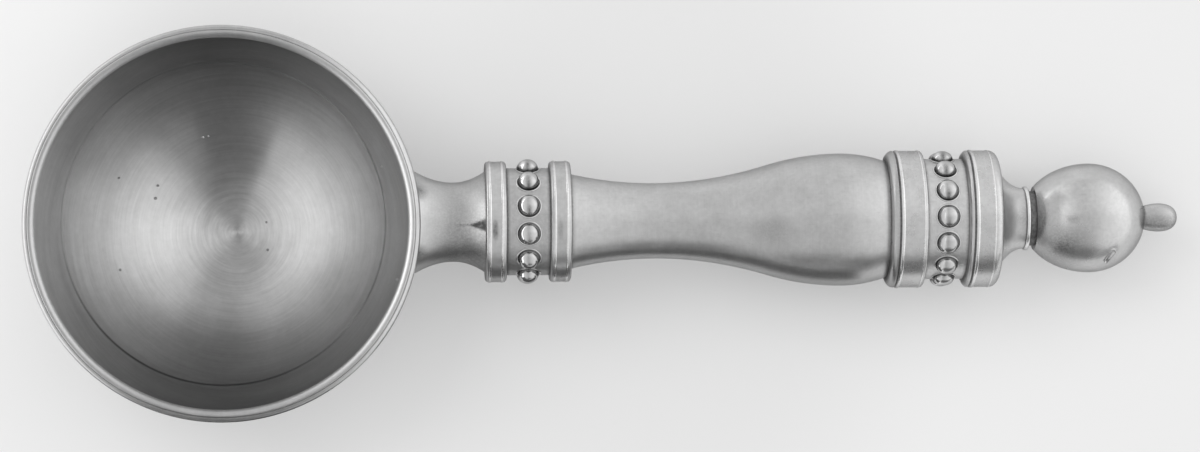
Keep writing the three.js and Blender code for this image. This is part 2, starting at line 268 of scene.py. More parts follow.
# Cards: light and corners in mm. A fade runs along Y to a second light, between two distances
# from its middle. A soft card thins out along X, between two distances from its middle.
cards = {
    "handleCard": {
        "grey": 0.10,
        "corners": [(34, -30, 0), (108, -30, 0), (108, -30, 18), (52, -30, 18), (34, -30, 25)],
    },
    "rearCard": {
        "grey": 0.18, "corners": [(108, -45, 7), (146, -45, 11), (146, -45, 26), (108, -45, 34)],
    },
    "finialCard": {
        "grey": 0.38, "corners": [(146, -45, 11), (185, -45, 11), (185, -45, 26), (146, -45, 26)],
    },
    "bowlCard": {
        "grey": 0.10, "corners": [(-60, -48, 0), (32, -48, 0), (32, -48, 22), (-60, -48, 22)],
    },
    "leftCard": {
        "grey": 1.2, "corners": [(-62, -70, 0), (-62, 70, 0), (-62, 70, 44), (-62, -70, 44)],
    },
    "overheadCard": {
        "grey": 0.46, "fade": (14, 0, 74, 0.14),
        "corners": [(6, 14, 112), (33, 14, 112), (33, -130, 112), (-80, -130, 112)],
    },
    "farCard": {
        "grey": 0.14, "corners": [(-80, -130, 112), (33, -130, 112), (33, -130, 20), (-80, -130, 20)],
    },
    "backCard": {
        "grey": 0.66, "fade": (14, 0, 70, 0.50), "soft": (4, 0, 125),
        "corners": [(-120, 14, 112), (33, 14, 112), (33, 130, 112), (-120, 130, 112)],
    },
    "nearScreen": {
        "grey": 1.6, "fade": (5, 0, 58, 0.46),
        "corners": [(33, -170, 30), (33, 5, 30), (33, 5, 150), (33, -170, 150)],
    },
    "backScreen": {
        "grey": 1.6, "fade": (5, 0, 75, 0.55),
        "corners": [(33, 5, 30), (33, 170, 30), (33, 170, 150), (33, 5, 150)],
    },
    "handleScreen": {
        "grey": 0.72, "corners": [(33.5, -170, 30), (33.5, 170, 30), (33.5, 170, 150), (33.5, -170, 150)],
    },
}


def fromMiddle(tree, axis, middle):
    place = splitVector(tree, objectCoords(tree))[axis]
    return maths(tree, "ABSOLUTE", maths(tree, "SUBTRACT", place, middle * mm))


for name, card in cards.items():
    cardFinish, tree, cardShader = newMaterial(name)
    light, thickness = card["grey"], 1.0
    if "fade" in card:
        middle, near, far, farLight = card["fade"]
        light = spread(tree, fromMiddle(tree, "Y", middle), near * mm, far * mm, light, farLight)
    if "soft" in card:
        middle, near, far = card["soft"]
        away = fromMiddle(tree, "X", middle)
        thickness = spread(tree, away, near * mm, far * mm, 1.0, 0.0, smooth=True)
    feedAll(tree, cardShader, {
        "Base Color": greySocket(0), "Specular IOR Level": 0.0, "Alpha": thickness,
        "Emission Color": greySocket(1), "Emission Strength": light,
    })
    bm = bmesh.new()
    bm.faces.new([bm.verts.new(Vector(corner) * mm) for corner in card["corners"]])
    cardObject = addObject(name, bm, cardFinish)
    cardObject.visible_camera = False
    cardObject.visible_diffuse = False
    cardObject.visible_shadow = False

windowLamp = {"place": (-480.0, 420.0, 850.0), "size": 650.0, "power": 2.4}
lampData = bpy.data.lights.new("windowLamp", "AREA")
lampData.shape = "DISK"
lampData.size = windowLamp["size"] * mm
lampData.energy = windowLamp["power"]
lampObject = bpy.data.objects.new("windowLamp", lampData)
lampObject.location = Vector(windowLamp["place"]) * mm
lampObject.rotation_euler = (-lampObject.location).to_track_quat("-Z", "Y").to_euler()
lampObject.visible_glossy = False
scene.collection.objects.link(lampObject)
print("stage ready")


# Finishes
edgeTint = 0.5                 # grey of the metal at grazing angles


def newSteel(name):
    made, tree, shader = newMaterial(name)
    feedAll(tree, shader, {"Metallic": 1.0, "Specular Tint": greySocket(edgeTint)})
    return made, tree, shader


def benchCoords(tree, drop=0.0):
    # Object coordinates turned back into the bench frame, in mm
    mapping = addNode(tree, "ShaderNodeMapping", vector_type="TEXTURE")
    place = bowlPlace @ Matrix.Translation((0, 0, -drop))
    feedAll(tree, mapping, {
        "Vector": objectCoords(tree), "Location": place.translation,
        "Rotation": (0, lean, 0), "Scale": (mm, mm, mm),
    })
    return mapping.outputs[0]


def painted(tree, name):
    # a share from 0 to 1 that the piece's corners carry
    return addNode(tree, "ShaderNodeAttribute", attribute_name=name).outputs["Fac"]


def bumped(tree, shader, height, strength, distance):
    made = addNode(tree, "ShaderNodeBump")
    feedAll(tree, made, {"Strength": strength, "Distance": distance * mm, "Height": height})
    feed(tree, shader.inputs["Normal"], made.outputs[0])


# Each noise: scale, detail and roughness
bowlFinish = {
    "grey": 0.56,
    "roughness": 0.28,
    "poleRough": 1.4,          # share of the roughness at the pole
    "poleReach": 7.0,
    "anisotropy": 0.87,
    "brushPole": (1.8, -1.4, 0.0),
    "streakNoise": (1.0, 3.0, 0.6),
    "streaksPerMm": 3.0,
    "streakBend": 1.5,         # smaller draws longer arcs
    "streakDepth": 0.085, "streakSpan": (0.2, 0.8), "streakRough": 0.02,
    "arcNoise": (1.0, 1.0, 0.6),
    "arcsPerMm": 1.6,
    "arcBend": 1.1, "arcDepth": 0.10,
    "arcFrom": 5.1,            # the arcs weaken from this distance to their reach
    "arcReach": 17.0,
    "smudgeNoise": (0.22, 4.0, 0.6), "smudgeDepth": 0.06,
    "mottleNoise": (1.0, 3.0, 0.65), "mottleDepth": 0.045,
    "creaseRadius": 26.5, "creaseHalfWidth": 0.30,
    "creaseBelow": 12.0,       # the dirt and painted shade are only above this depth, inside
    # dirt in the crease, deepened towards creaseDarkSide and towards +X as painted shade
    "creaseDark": 0.85, "creaseFaint": 0.36, "creaseDarkSide": (-0.2, -0.98, 0.0),
    "creaseSpan": (0.3, 0.9),
    "creaseRight": 0.75,       # towards +X
    "creaseRightSpan": (0.55, 0.9), "creaseRough": 0.3,
    "wallFrom": 15.5,          # painted shade makes the wall darker towards -Y and +Y, and painted light makes it brighter at the sides
    "wallTo": 27.0, "wallShadeDepth": 0.42,
    "wallMiddle": 0.08,        # above 0, the wall towards -Y is the darker one
    "wallSideLight": 0.07,
    "upperFrom": 28.0,         # painted shade: inside, the wall darkens up to the lip, least towards -X
    "upperTo": 30.2, "upperShade": 0.34, "upperLeftShare": 0.3,
    "sheetMiddle": (0.3455, 30.9),     # the sheet's middle radius: slope, and value at the lip
    "lightAndShadeSpots": [                # painted light and shade in the dish, soft round spots: place, radius, and how much lighter
        (-1.3, -19.3, 9.0, -0.27), (6.0, -13.2, 7.5, 0.22), (-6.2, -13.6, 7.5, 0.14),
        (7.3, 15.8, 7.5, 0.27), (-13.3, 19.0, 9.0, -0.15), (18.5, -9.5, 9.0, -0.16),
        (-21.3, 12.3, 9.0, -0.13),
    ],
    "pits": [                  # place and radius
        (-11.4, 6.4, 0.30), (-11.8, 4.3, 0.34), (-17.6, 7.7, 0.28),
        (-17.5, -7.5, 0.30), (6.6, 0.2, 0.26), (6.8, -4.4, 0.30),
    ],
    "specks": [(25.9, 9.2, 0.30), (28.3, -9.2, 0.32), (-3.8, 14.4, 0.26), (-2.9, 14.6, 0.20)],
    "spotCore": 0.4,           # share of a pit or speck with its full depth
    "spotHeight": 0.08, "spotStrength": 0.5,
    "pitDark": 0.55,
    "speckLight": 0.5,
}


def makeBowlFinish():
    use = bowlFinish
    made, tree, shader = newSteel("brushedBowlSteel")
    coords = benchCoords(tree)
    height = splitVector(tree, coords)["Z"]
    flat = vectorMaths(tree, "MULTIPLY", coords, (1, 1, 0))
    fromAxis = vectorMaths(tree, "LENGTH", flat)
    rightward, across = (maths(tree, "DIVIDE", splitVector(tree, flat)[axis], fromAxis) for axis in "XY")
    fromPole = vectorMaths(tree, "SUBTRACT", flat, use["brushPole"])
    around = vectorMaths(tree, "NORMALIZE", fromPole)
    reach = vectorMaths(tree, "LENGTH", fromPole)

    # fine brush streaks, wider arcs near the pole, and soft smudges
    def rings(perMm, bend, look):
        turned = vectorMaths(tree, "MULTIPLY", around, (bend, bend, bend))
        outward = joinVector(tree, 0, 0, product(tree, reach, perMm))
        return noise(tree, vectorMaths(tree, "ADD", turned, outward), *look)

    streaks = rings(use["streaksPerMm"], use["streakBend"], use["streakNoise"])
    arcs = rings(use["arcsPerMm"], use["arcBend"], use["arcNoise"])
    arcShare = spread(tree, reach, use["arcFrom"], use["arcReach"], 1.0, 0.0, smooth=True)
    arcs = maths(tree, "MULTIPLY_ADD", maths(tree, "SUBTRACT", arcs, 0.5), arcShare, 0.5)
    smudges = noise(tree, coords, *use["smudgeNoise"])
    mottle = noise(tree, coords, *use["mottleNoise"])
    grey = product(
        tree, around1(tree, streaks, use["streakDepth"]), around1(tree, arcs, use["arcDepth"]),
        around1(tree, smudges, use["smudgeDepth"]), around1(tree, mottle, use["mottleDepth"]), use["grey"],
    )

    # dirt along the crease, deepened on some sides as painted shade
    offCrease = maths(tree, "ABSOLUTE", maths(tree, "SUBTRACT", fromAxis, use["creaseRadius"]))
    onCrease = spread(tree, offCrease, 0.0, use["creaseHalfWidth"], 1.0, 0.0, smooth=True)
    inside = maths(tree, "GREATER_THAN", height, -use["creaseBelow"])
    side = vectorMaths(tree, "DOT_PRODUCT", vectorMaths(tree, "NORMALIZE", flat), use["creaseDarkSide"])
    nearDirtAndShade = spread(tree, side, *use["creaseSpan"], use["creaseFaint"], use["creaseDark"])
    rightDirtAndShade = spread(tree, rightward, *use["creaseRightSpan"], 0.0, use["creaseRight"])
    dirtAndShade = product(tree, onCrease, maths(tree, "MAXIMUM", nearDirtAndShade, rightDirtAndShade), inside)
    grey = changed(tree, grey, dirtAndShade, -1.0)

    # painted shade on the wall, with painted light at its sides, and painted shade on its darker upper part
    onWall = spread(tree, fromAxis, use["wallFrom"], use["wallTo"], 0.0, 1.0, smooth=True)
    offMiddle = maths(tree, "SUBTRACT", across, use["wallMiddle"])
    wallShade = product(tree, offMiddle, offMiddle)
    wallShade = maths(tree, "MULTIPLY_ADD", wallShade, -use["wallShadeDepth"], use["wallSideLight"])
    grey = changed(tree, grey, onWall, wallShade)
    sheetMiddle = maths(tree, "MULTIPLY_ADD", height, *use["sheetMiddle"])
    upper = spread(tree, fromAxis, use["upperFrom"], use["upperTo"], 0.0, use["upperShade"])
    inner = maths(tree, "LESS_THAN", fromAxis, sheetMiddle)
    sideShare = spread(tree, rightward, -1.0, 0.0, use["upperLeftShare"], 1.0)
    grey = changed(tree, grey, product(tree, upper, inner, sideShare), -1.0)

    # painted light and shade in wide spots, small pits and bright specks, each a soft round spot
    def spot(x, y, radius, core):
        away = vectorMaths(tree, "DISTANCE", flat, (x, y, 0.0))
        return spread(tree, away, radius * core, radius, 1.0, 0.0, smooth=True)

    def spots(places):
        total = 0.0
        for x, y, radius in places:
            total = maths(tree, "ADD", total, spot(x, y, radius, use["spotCore"]))
        return total

    # painted highlights and painted shade in the dish
    for x, y, radius, lighter in use["lightAndShadeSpots"]:
        grey = changed(tree, grey, spot(x, y, radius, 0.0), lighter)
    pits = spots(use["pits"])
    specks = spots(use["specks"])
    grey = changed(tree, grey, pits, -use["pitDark"])
    grey = changed(tree, grey, specks, use["speckLight"])
    streakRough = use["roughness"] + use["streakRough"]
    rough = spread(tree, streaks, *use["streakSpan"], use["roughness"], streakRough)
    rough = product(tree, rough, spread(tree, reach, 0.0, use["poleReach"], use["poleRough"], 1.0))
    rough = maths(tree, "MULTIPLY_ADD", dirtAndShade, use["creaseRough"], rough)
    feedAll(tree, shader, {
        "Base Color": joinVector(tree, grey, grey, grey), "Roughness": rough,
        "Anisotropic": use["anisotropy"], "Tangent": around,
    })
    bumped(tree, shader, maths(tree, "SUBTRACT", specks, pits), use["spotStrength"], use["spotHeight"])
    return made


# Satin finishes of the turned pieces; the depths are shares of the grey, the grain's is in mm
satinKeys = ("grey", "roughness", "mottle", "lines", "grain")
satinFinishes = {
    "lip": (0.55, 0.38, 0.04, 0.02, 0.010),
    "rim": (0.59, 0.34, 0.05, 0.02, 0.012),
    "handle": (0.59, 0.33, 0.065, 0.025, 0.028),
    "ring": (0.60, 0.30, 0.075, 0.03, 0.030),
    "band": (0.53, 0.36, 0.10, 0.01, 0.085),
    "bead": (0.56, 0.18, 0.05, 0.0, 0.012),
    "finial": (0.61, 0.25, 0.06, 0.02, 0.014),
    "rod": (0.42, 0.45, 0.06, 0.04, 0.020),
}
satin = {
    "mottleNoise": (0.35, 3.0, 0.55), "mottleRough": 0.03,
    "blotchNoise": (1.4, 2.0, 0.6),
    "blotchShare": 0.7,        # of the mottling's depth
    "lineNoise": (1.0, 2.0, 0.6),
    "linesPerMm": 7.0,
    "scuffNoise": (1.0, 3.0, 0.6), "scuffStretch": (0.25, 3.0, 3.0),
    "scuffSpan": (0.58, 0.74), "scuffDepth": 0.07,
    "grainNoise": (3.2, 2.0, 0.6), "grainStrength": 0.5,
}
# how the patina-and-shade and polish-and-sheen shares darken and lighten the grey
wearAndPaintedLight = {
    "patinaAndShadeDark": 0.88, "patinaRough": 0.18,
    "gritSpan": (0.35, 0.6),   # thin patina is gritty
    "gritLeast": 0.6,
    "blotchSpan": (0.3, 0.6), "blotchLeast": 0.75,
    "polishAndSheenLight": 0.26, "polishSmooth": 0.12,
}


def makeSatinFinish(name):
    use = dict(zip(satinKeys, satinFinishes[name]))
    made, tree, shader = newSteel(name + "Steel")
    coords = benchCoords(tree, bench["handleDepth"])
    along = splitVector(tree, coords)["X"]
    outward = vectorMaths(tree, "NORMALIZE", vectorMaths(tree, "MULTIPLY", coords, (0, 1, 1)))

    # soft mottling, turning lines round the axis, lengthwise scuffs and a fine grain
    mottle = noise(tree, coords, *satin["mottleNoise"])
    blotch = noise(tree, coords, *satin["blotchNoise"])
    lineStep = joinVector(tree, product(tree, along, satin["linesPerMm"]), 0, 0)
    lines = noise(tree, vectorMaths(tree, "ADD", outward, lineStep), *satin["lineNoise"])
    stretched = vectorMaths(tree, "MULTIPLY", coords, satin["scuffStretch"])
    scuffs = noise(tree, stretched, *satin["scuffNoise"])
    scuffs = spread(tree, scuffs, *satin["scuffSpan"], 1.0, 1 - satin["scuffDepth"], smooth=True)
    grain = noise(tree, coords, *satin["grainNoise"])
    grey = product(
        tree, around1(tree, mottle, use["mottle"]),
        around1(tree, blotch, use["mottle"] * satin["blotchShare"]),
        around1(tree, lines, use["lines"]), scuffs, use["grey"],
    )

    # dark patina in the joints and bright worn edges, with the painted shade and highlights that the pieces
    # carry in the same shares
    patinaAndShade = painted(tree, "patinaAndShade")
    polishAndSheen = painted(tree, "polishAndSheen")
    grit = spread(tree, grain, *wearAndPaintedLight["gritSpan"], wearAndPaintedLight["gritLeast"], 1.0)
    grit = maths(tree, "MAXIMUM", grit, patinaAndShade)
    patches = spread(tree, blotch, *wearAndPaintedLight["blotchSpan"], wearAndPaintedLight["blotchLeast"], 1.0)
    grey = changed(tree, grey, product(tree, patinaAndShade, patches, grit), -wearAndPaintedLight["patinaAndShadeDark"])
    grey = maths(tree, "MULTIPLY_ADD", polishAndSheen, wearAndPaintedLight["polishAndSheenLight"], grey)
    smoothest = use["roughness"] - satin["mottleRough"]
    roughest = use["roughness"] + satin["mottleRough"]
    rough = spread(tree, mottle, *noiseSpan, smoothest, roughest)
    rough = maths(tree, "MULTIPLY_ADD", patinaAndShade, wearAndPaintedLight["patinaRough"], rough)
    rough = maths(tree, "MULTIPLY_ADD", polishAndSheen, -wearAndPaintedLight["polishSmooth"], rough)
    feedAll(tree, shader, {"Base Color": joinVector(tree, grey, grey, grey), "Roughness": rough})
    bumped(tree, shader, grain, satin["grainStrength"], use["grain"])
    return made


finishes = {name: makeSatinFinish(name) for name in satinFinishes}
finishes["bowl"] = makeBowlFinish()
print("finishes ready:", len(finishes))


# Profiles: points are (along the axis, out from it)
def oval(middle, reach, start, stop, steps, power=2.0):
    # part of an ellipse, in degrees from the axis direction towards the outside; a power above 2 squares it
    points = []
    for step in range(steps + 1):
        angle = math.radians(start + (stop - start) * step / steps)
        shares = (math.cos(angle), math.sin(angle))
        along, out = (math.copysign(abs(share) ** (2 / power), share) for share in shares)
        points.append((middle[0] + reach[0] * along, middle[1] + reach[1] * out))
    return points


def flare(start, end, steps, power=2):
    # parabola that starts level with the axis
    along, out = end[0] - start[0], end[1] - start[1]
    shares = [step / steps for step in range(steps + 1)]
    return [(start[0] + along * share, start[1] + out * share ** power) for share in shares]


def straight(start, end, steps):
    return flare(start, end, steps, power=1)


weldDistance = 1e-4            # mm


def turn(profile, rounds, axis="X", closed=False):
    # a profile spun all the way round the axis
    bm = bmesh.new()
    if axis == "X":
        points = [bm.verts.new((along, 0, out)) for along, out in profile]
    else:
        points = [bm.verts.new((out, 0, along)) for along, out in profile]
    edges = [bm.edges.new(pair) for pair in zip(points, points[1:])]
    if closed:
        edges.append(bm.edges.new((points[-1], points[0])))
    bmesh.ops.spin(
        bm, geom=points + edges, cent=(0, 0, 0), axis=(1, 0, 0) if axis == "X" else (0, 0, 1),
        dvec=(0, 0, 0), angle=math.tau, steps=rounds, use_merge=True, use_duplicate=False,
    )
    bmesh.ops.remove_doubles(bm, verts=bm.verts, dist=weldDistance)
    bmesh.ops.recalc_face_normals(bm, faces=bm.faces)
    return bm


def fade(distance, reach=1.0):
    # 1 at no distance, 0 at the reach and past it
    return max(0.0, 1 - abs(distance) / reach)


def firmFade(distance, reach=1.0, gain=2.0):
    # a fade that stays at 1 over its middle
    return min(1.0, gain * fade(distance, reach))


def ovalAway(x, y, middle, reach):
    # 0 in the middle of an oval, 1 on its outline
    return math.hypot((x - middle[0]) / reach[0], (y - middle[1]) / reach[1])


def paint(bm, layer, share):
    # lets each corner carry a share worked out from its place on the bench
    shares = bm.verts.layers.float.new(layer)
    for vert in bm.verts:
        vert[shares] = min(1.0, max(0.0, share(*vert.co)))


creaseLimit = 32.0             # degrees; sharper bends get a crisp edge


def finishPiece(bm, name, finish, slot, *nodes, place=handlePlace):
    bmesh.ops.transform(bm, matrix=place, verts=bm.verts)
    bmesh.ops.recalc_face_normals(bm, faces=bm.faces)
    piece = addObject(name, bm, finishes[finish])
    piece.data.shade_smooth()
    piece.data.set_sharp_from_angle(angle=math.radians(creaseLimit))
    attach(piece, "root")
    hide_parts(*nodes)
    return piece


# Bowl: dish, crease, wall and round lip, cut flat where it rests on the table
bowl = {
    "mouth": 30.4,
    "wall": 1.0,
    "crease": 26.6, "creaseDepth": 11.0,
    "depth": 27.0,
    "creaseBend": 2.4,
    "bendSteps": 24,
    "grooveWidth": 0.45, "grooveDepth": 0.05,
    "lipCrest": 31.18, "lipDrop": 0.03, "lipRoll": (1.45, 1.2), "lipOuterDepth": 0.25,
    "lipBand": 0.8,
    "rounds": 192,
}
dishDepth = bowl["depth"] - bowl["creaseDepth"]
dishRadius = (bowl["crease"] ** 2 + dishDepth ** 2) / (2 * dishDepth)
dishMiddle = dishRadius - bowl["depth"]
creaseAngle = math.degrees(math.asin((bowl["creaseDepth"] + dishMiddle) / dishRadius))


def makeBowl():
    # the wall rolls outwards into the lip, which is rounder on its outer side
    wallSlope = (bowl["mouth"] - bowl["crease"]) / bowl["creaseDepth"]
    rollDeep, rollWide = bowl["lipRoll"]
    rollStart = math.degrees(math.atan(wallSlope * rollDeep / rollWide)) - 90
    top, crest = -bowl["lipDrop"], bowl["lipCrest"]
    outerDeep = bowl["lipOuterDepth"]
    outerWide = bowl["mouth"] + bowl["wall"] - crest
    lip = (
        oval((top - rollDeep, crest), (rollDeep, rollWide), rollStart, 0, steps=16)
        + oval((top - outerDeep, crest), (outerDeep, outerWide), 0, 90, steps=8)[1:]
    )
    corner = (-bowl["creaseDepth"], bowl["crease"])
    bendStart = creaseAngle - math.degrees(bowl["creaseBend"] / dishRadius)
    dishEnd = 90 + 2 * creaseAngle - bendStart
    inside = oval((dishMiddle, 0), (dishRadius, dishRadius), 180, dishEnd, steps=60)
    upWall = (Vector(lip[0]) - Vector(corner)).normalized()
    bendEnd = Vector(corner) + upWall * bowl["creaseBend"]
    # the dish bends softly into the wall, with a shallow groove half way
    bend = []
    for step in range(1, bowl["bendSteps"]):
        share = step / bowl["bendSteps"]
        place = (
            Vector(inside[-1]) * (1 - share) ** 2
            + Vector(corner) * 2 * share * (1 - share)
            + bendEnd * share ** 2
        )
        fromGroove = (share - 0.5) * 2 * bowl["creaseBend"]
        dip = bowl["grooveDepth"] * fade(fromGroove, bowl["grooveWidth"] / 2)
        bend.append((place.x - dip * upWall.y, place.y + dip * upWall.x))
    wall = straight(bendEnd, lip[0], steps=20)[:-1]
    outerRadius = dishRadius + bowl["wall"]
    outerDish = oval((dishMiddle, 0), (outerRadius, outerRadius), 90 + creaseAngle, 180, steps=40)
    bm = turn(inside + bend + wall + lip + outerDish, bowl["rounds"], axis="Z")
    toBench = bowlPlace.inverted()
    tableDown = (toBench.to_3x3() @ Vector((0, 0, -1))).normalized()
    cut = bmesh.ops.bisect_plane(
        bm, geom=bm.verts[:] + bm.edges[:] + bm.faces[:],
        plane_co=toBench @ Vector((lipMiddle.x, 0, 0)), plane_no=tableDown, clear_outer=True,
    )
    cutEdges = [part for part in cut["geom_cut"] if isinstance(part, bmesh.types.BMEdge)]
    bmesh.ops.edgenet_fill(bm, edges=cutEdges)
    for face in bm.faces:
        face.material_index = 1 if face.calc_center_median().z > -bowl["lipBand"] else 0
    piece = finishPiece(bm, "bowlShell", "bowl", "bowl_steel", "bowl", place=bowlPlace)
    piece.data.materials.append(finishes["lip"])


makeBowl()

rim = {
    "inner": 31.42,
    "thickness": 0.76,
    "height": 1.8,
    "drop": 0.1,
    "squareness": 2.6,
    "rounds": 192,
    # dirt in the seam, which shows round seamSide as painted shade
    "seam": 0.45, "seamWidth": 0.15,
    "seamSide": -25.0,         # degrees from +x
    "seamReach": 45.0,
    # painted shade on the outer flank past darkFlank, round the angle darkSide
    "darkFlank": 0.58, "darkSide": -80.0, "darkReach": 50.0,
}


def makeRimWire():
    half = rim["height"] / 2
    middle = (-rim["drop"] - half, rim["inner"])
    section = oval(middle, (half, rim["thickness"]), 0, 180, steps=24, power=rim["squareness"])
    bm = turn(section, rim["rounds"], axis="Z", closed=True)

    def darkening(x, y, z):
        # dirt in the seam beside the lip, deeper round one angle as painted shade, and painted shade on the
        # outer flank on the near side
        out = math.hypot(x, y) - rim["inner"]
        angle = math.degrees(math.atan2(y, x))
        seam = rim["seam"] * fade(angle - rim["seamSide"], rim["seamReach"]) * fade(out, rim["seamWidth"])
        nearSide = fade(angle - rim["darkSide"], rim["darkReach"])
        return max(seam, nearSide * (out > rim["darkFlank"]))

    paint(bm, "patinaAndShade", darkening)
    finishPiece(bm, "rimWire", "rim", "rim_steel", "rim_wire", place=bowlPlace)


makeRimWire()
print("bowl and rim made")

# Handle stations along its axis, from the bowl's axis
stations = {
    "neckStart": 31.4, "neckWaist": 37.6,
    "ringA": 42.75, "frontDrum": 46.25, "ringB": 53.3,
    "grip": 56.8,
    "ringC": 108.8, "rearDrum": 114.8, "ringD": 121.5,
    "finialNeck": 127.25, "ball": 133.45, "tip": 151.7,
}
boreOut = 2.6
handleRounds = 96
jointReach = 0.45              # how far the joints' patina runs


def bored(start, end, outline, rounds=handleRounds):
    # a turned piece with the rod's bore through it
    return turn([(start, boreOut)] + outline + [(end, boreOut)], rounds, closed=True)


def jointPatina(start, end, depth):
    return lambda x, y, z: depth * max(fade(x - start, jointReach), fade(x - end, jointReach))


neck = {
    "bowlOut": 8.3,
    "waistOut": 6.5,
    "collarOut": 8.3,
    "skirt": 1.0,
    "wallReach": 0.5,
    "jointDark": 0.7,
    "rimShadowDark": 1.6,          # painted shadow: two dark patches beside the rim
    "rimShadowReach": 4.4, "rimShadowMiddle": 5.2, "rimShadowHalf": 2.0,
    "dullAndShade": 0.40,              # all over, and darker towards -y as painted shade
    "shadeTilt": 0.18, "dullAndShadeReach": 11.0,
    "wedgeAt": -0.5,           # a dark wedge on top, with a thin tail
    "wedgeLength": 3.8, "wedgeHalf": 1.4, "wedgeEdge": 3.0,
    "tailDark": 0.85, "tailHalf": 0.55, "tailLength": 7.5,
}


def bowlOutsideAt(height):
    # radius of the bowl's outside at a height below the lip
    if height > -bowl["creaseDepth"]:
        foot = bowl["crease"] + bowl["wall"]
        return foot + (bowl["mouth"] + bowl["wall"] - foot) * (1 + height / bowl["creaseDepth"])
    return math.sqrt((dishRadius + bowl["wall"]) ** 2 - (dishMiddle - height) ** 2)


def neckPatinaAndShade(x, y, z):
    # the painted shadow patches, the dull skin with painted shade towards -y, the joint with the first
    # ring, and on top the wedge beside it
    fromRing = x - stations["ringA"]
    fromBowl = math.hypot(x, y) - bowlOutsideAt(z - bench["handleDepth"])
    patch = neck["rimShadowDark"] * fade(fromBowl, neck["rimShadowReach"])
    patch *= fade(abs(y) - neck["rimShadowMiddle"], neck["rimShadowHalf"])
    dullAndShade = neck["dullAndShade"] - neck["shadeTilt"] * y / neck["waistOut"]
    dullAndShade *= firmFade(fromRing, neck["dullAndShadeReach"])
    joint = neck["jointDark"] * fade(fromRing, jointReach)
    if z <= 0:
        return max(patch, dullAndShade, joint)
    fromWedge = y - neck["wedgeAt"]
    wedge = fade(fromRing, neck["wedgeLength"]) - abs(fromWedge) / neck["wedgeHalf"]
    tail = neck["tailDark"] * fade(fromWedge, neck["tailHalf"]) * firmFade(fromRing, neck["tailLength"])
    return max(patch, dullAndShade, joint, neck["wedgeEdge"] * wedge, tail)


def makeNeck():
    start, waist, end = stations["neckStart"], stations["neckWaist"], stations["ringA"]
    saddle = start - neck["skirt"]
    toBowl = flare((waist, neck["waistOut"]), (start, neck["bowlOut"]), steps=24)[::-1]
    toCollar = flare((waist, neck["waistOut"]), (end, neck["collarOut"]), steps=20)[1:]
    skirt = straight((saddle, neck["bowlOut"]), toBowl[0], steps=6)[:-1]
    bm = bored(saddle, end, skirt + toBowl + toCollar, 2 * handleRounds)
    # the end towards the bowl follows the bowl's outside
    for vert in bm.verts:
        share = (start - vert.co.x) / (start - saddle)
        if share > 0:
            reach = bowlOutsideAt(vert.co.z - bench["handleDepth"]) - neck["wallReach"]
            onBowl = math.sqrt(reach ** 2 - vert.co.y ** 2)
            vert.co.x = start + (onBowl - start) * share
    paint(bm, "patinaAndShade", neckPatinaAndShade)
    finishPiece(bm, "neckPiece", "handle", "handle_steel", "neck")


makeNeck()

frontRing = {
    "out": 10.0,
    "edge": 0.55,
    "ridge": 0.4,
    "rise": 0.09,
    "jointDark": 0.7, "jointReach": 0.3,
    "patchAlong": 1.5, "patchAcross": -1.3, "darkPatchReach": (0.6, 2.0),
}


def ridge(start, width, base, rise):
    # a fine raised line along the edge of a ring's flat
    return oval((start + width / 2, base), (width / 2, rise), 180, 0, steps=8)


def makeFrontRing(name, start, end, darkPatch, node):
    use = frontRing
    out, edge, width, rise = (use[key] for key in ("out", "edge", "ridge", "rise"))
    flat = out - rise
    outline = (
        oval((start + edge, flat - edge), (edge, edge), 180, 90, steps=6)
        + ridge(start + edge, width, flat, rise)[1:]
        + straight((start + edge + width, flat), (end - edge - width, flat), steps=6)[1:-1]
        + ridge(end - edge - width, width, flat, rise)
        + oval((end - edge, flat - edge), (edge, edge), 90, 0, steps=6)[1:]
    )
    bm = bored(start, end, outline)
    patchAt = (start + use["patchAlong"], use["patchAcross"])

    def darkening(x, y, z):
        # both joints, and a dark patch on top
        nearest = min(abs(x - start), abs(x - end))
        joints = use["jointDark"] * fade(nearest, use["jointReach"])
        spot = darkPatch * firmFade(ovalAway(x, y, patchAt, use["darkPatchReach"])) if z > 0 else 0.0
        return max(joints, spot)

    paint(bm, "patinaAndShade", darkening)
    paint(bm, "polishAndSheen", lambda x, y, z: firmFade(math.hypot(y, z) - out, rise))
    finishPiece(bm, name, "ring", "ring_steel", node)


makeFrontRing(
    "frontRingBowlSide", stations["ringA"], stations["frontDrum"], darkPatch=0.8, node="front_ring_bowl_side",
)
makeFrontRing(
    "frontRingGripSide", stations["ringB"], stations["grip"], darkPatch=0.4, node="front_ring_grip_side",
)

grip = {
    "startOut": 7.8,
    "waistAt": 13.7, "waistOut": 6.2,
    "turnAt": 32.2,
    "bellyAt": 44.6, "bellyOut": 10.9,
    "endOut": 9.6,
    "jointDark": 0.8,
    "smudge": (89.5, -1.9), "smudgeReach": (4.6, 3.4), "smudgeGain": 1.5,
    "smudgeDark": 0.28,
}


